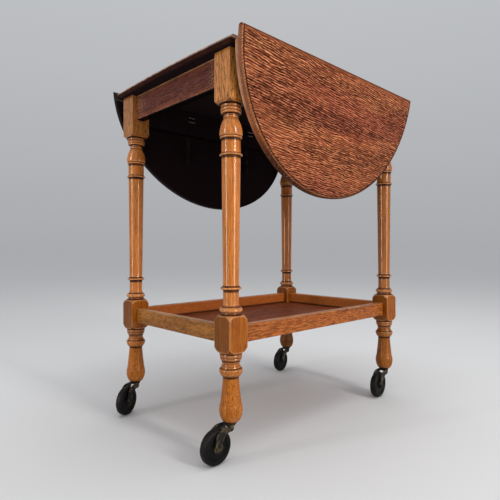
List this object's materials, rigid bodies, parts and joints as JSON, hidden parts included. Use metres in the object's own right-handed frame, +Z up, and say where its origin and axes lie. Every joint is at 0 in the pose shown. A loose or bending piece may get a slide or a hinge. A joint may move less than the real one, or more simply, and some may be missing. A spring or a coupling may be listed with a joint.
{
  "type": "drop leaf tea trolley",
  "caption": "Oval drop leaf tea trolley in brown oak with turned legs, a railed lower tray, hinged half oval leaves held by folding stays, and black castor wheels.",
  "frame": {"origin": "on the floor under the middle of the overall box, with the leaves hanging and the castors trailing to the left", "axes": "+X along the trolley to the right, +Y away from the viewer towards the far leaf, +Z up"},
  "size_m": [0.6105, 0.451, 0.7303],
  "materials": {
    "leg_oak": "golden brown lacquered oak, worn paler on the arrises",
    "frame_oak": "dark reddish brown stained oak with worn pale specks",
    "rail_oak": "orange brown stained oak with dark pores",
    "panel_oak": "reddish dark brown veneered panel with a soft sheen",
    "block_pine": "plain unvarnished softwood",
    "board_oak": "reddish brown polished oak with a strong straight grain",
    "hinge_steel": "dull grey pressed steel",
    "stay_steel": "dull grey flat steel bar",
    "castor_steel": "aged pressed steel with worn brass plating",
    "wheel_rubber": "hard black rubber, dusty at the tread"
  },
  "bodies": {
    "frame": {"leg_near_left": "leg_oak", "leg_near_right": "leg_oak", "leg_far_left": "leg_oak", "leg_far_right": "leg_oak", "apron_left": "frame_oak", "apron_right": "frame_oak", "apron_near": "frame_oak", "apron_far": "frame_oak", "tray_rail_left": "rail_oak", "tray_rail_right": "rail_oak", "tray_rail_near": "rail_oak", "tray_rail_far": "rail_oak", "tray_panel": "panel_oak", "corner_blocks": "block_pine", "top_panel": "board_oak", "hinge_straps_near": "hinge_steel", "hinge_straps_far": "hinge_steel", "hinge_pins_near": "hinge_steel", "hinge_pins_far": "hinge_steel", "stay_brackets": "stay_steel", "stay_pins": "stay_steel", "castor_sockets": "castor_steel"},
    "leaf_near": {"leaf_near": "board_oak", "hinge_flaps_near": "hinge_steel"},
    "leaf_far": {"leaf_far": "board_oak", "hinge_flaps_far": "hinge_steel"},
    "stay_near_left": {"stay_near_left": "stay_steel"},
    "stay_near_right": {"stay_near_right": "stay_steel"},
    "stay_far_left": {"stay_far_left": "stay_steel"},
    "stay_far_right": {"stay_far_right": "stay_steel"},
    "castor_fork_near_left": {"castor_horn_near_left": "castor_steel", "castor_stem_near_left": "castor_steel", "castor_axle_near_left": "castor_steel"},
    "castor_roller_near_left": {"castor_wheel_near_left": "wheel_rubber", "castor_hub_near_left": "castor_steel"},
    "castor_fork_near_right": {"castor_horn_near_right": "castor_steel", "castor_stem_near_right": "castor_steel", "castor_axle_near_right": "castor_steel"},
    "castor_roller_near_right": {"castor_wheel_near_right": "wheel_rubber", "castor_hub_near_right": "castor_steel"},
    "castor_fork_far_left": {"castor_horn_far_left": "castor_steel", "castor_stem_far_left": "castor_steel", "castor_axle_far_left": "castor_steel"},
    "castor_roller_far_left": {"castor_wheel_far_left": "wheel_rubber", "castor_hub_far_left": "castor_steel"},
    "castor_fork_far_right": {"castor_horn_far_right": "castor_steel", "castor_stem_far_right": "castor_steel", "castor_axle_far_right": "castor_steel"},
    "castor_roller_far_right": {"castor_wheel_far_right": "wheel_rubber", "castor_hub_far_right": "castor_steel"}
  },
  "joints": [
    {"name": "leaf_near_hinge", "type": "hinge", "parent": "frame", "child": "leaf_near", "pos_m": [0.01574, -0.2152, 0.7143], "axis": [-1, 0, 0], "range_deg": [0, 98.5]},
    {"name": "stay_near_left_swing", "type": "hinge", "parent": "frame", "child": "stay_near_left", "pos_m": [-0.08525, -0.1823, 0.684], "axis": [-1, 0, 0], "range_deg": [0, 102]},
    {"name": "stay_near_right_swing", "type": "hinge", "parent": "frame", "child": "stay_near_right", "pos_m": [0.11675, -0.1823, 0.684], "axis": [-1, 0, 0], "range_deg": [0, 102]},
    {"name": "leaf_far_hinge", "type": "hinge", "parent": "frame", "child": "leaf_far", "pos_m": [0.01574, 0.2152, 0.7143], "axis": [1, 0, 0], "range_deg": [0, 98.5]},
    {"name": "stay_far_left_swing", "type": "hinge", "parent": "frame", "child": "stay_far_left", "pos_m": [-0.08525, 0.1823, 0.684], "axis": [1, 0, 0], "range_deg": [0, 102]},
    {"name": "stay_far_right_swing", "type": "hinge", "parent": "frame", "child": "stay_far_right", "pos_m": [0.11675, 0.1823, 0.684], "axis": [1, 0, 0], "range_deg": [0, 102]},
    {"name": "swivel_near_left", "type": "hinge", "parent": "frame", "child": "castor_fork_near_left", "pos_m": [-0.24025, -0.165, 0.06], "axis": [0, 0, 1], "continuous": true},
    {"name": "roll_near_left", "type": "hinge", "parent": "castor_fork_near_left", "child": "castor_roller_near_left", "pos_m": [-0.27525, -0.16561, 0.03], "axis": [0.0175, -0.9998, 0], "continuous": true},
    {"name": "swivel_near_right", "type": "hinge", "parent": "frame", "child": "castor_fork_near_right", "pos_m": [0.27175, -0.165, 0.06], "axis": [0, 0, 1], "continuous": true},
    {"name": "roll_near_right", "type": "hinge", "parent": "castor_fork_near_right", "child": "castor_roller_near_right", "pos_m": [0.23688, -0.16805, 0.03], "axis": [0.0872, -0.9962, 0], "continuous": true},
    {"name": "swivel_far_left", "type": "hinge", "parent": "frame", "child": "castor_fork_far_left", "pos_m": [-0.24025, 0.165, 0.06], "axis": [0, 0, 1], "continuous": true},
    {"name": "roll_far_left", "type": "hinge", "parent": "castor_fork_far_left", "child": "castor_roller_far_left", "pos_m": [-0.27171, 0.14966, 0.03], "axis": [0.4384, -0.8988, 0], "continuous": true},
    {"name": "swivel_far_right", "type": "hinge", "parent": "frame", "child": "castor_fork_far_right", "pos_m": [0.27175, 0.165, 0.06], "axis": [0, 0, 1], "continuous": true},
    {"name": "roll_far_right", "type": "hinge", "parent": "castor_fork_far_right", "child": "castor_roller_far_right", "pos_m": [0.23739, 0.15832, 0.03], "axis": [0.1908, -0.9816, 0], "continuous": true}
  ],
  "couplings": [
    {"joint": "stay_near_left_swing", "follows": "leaf_near_hinge", "ratio": 1.028},
    {"joint": "stay_near_right_swing", "follows": "leaf_near_hinge", "ratio": 1.028},
    {"joint": "stay_far_left_swing", "follows": "leaf_far_hinge", "ratio": 1.028},
    {"joint": "stay_far_right_swing", "follows": "leaf_far_hinge", "ratio": 1.028}
  ]
}
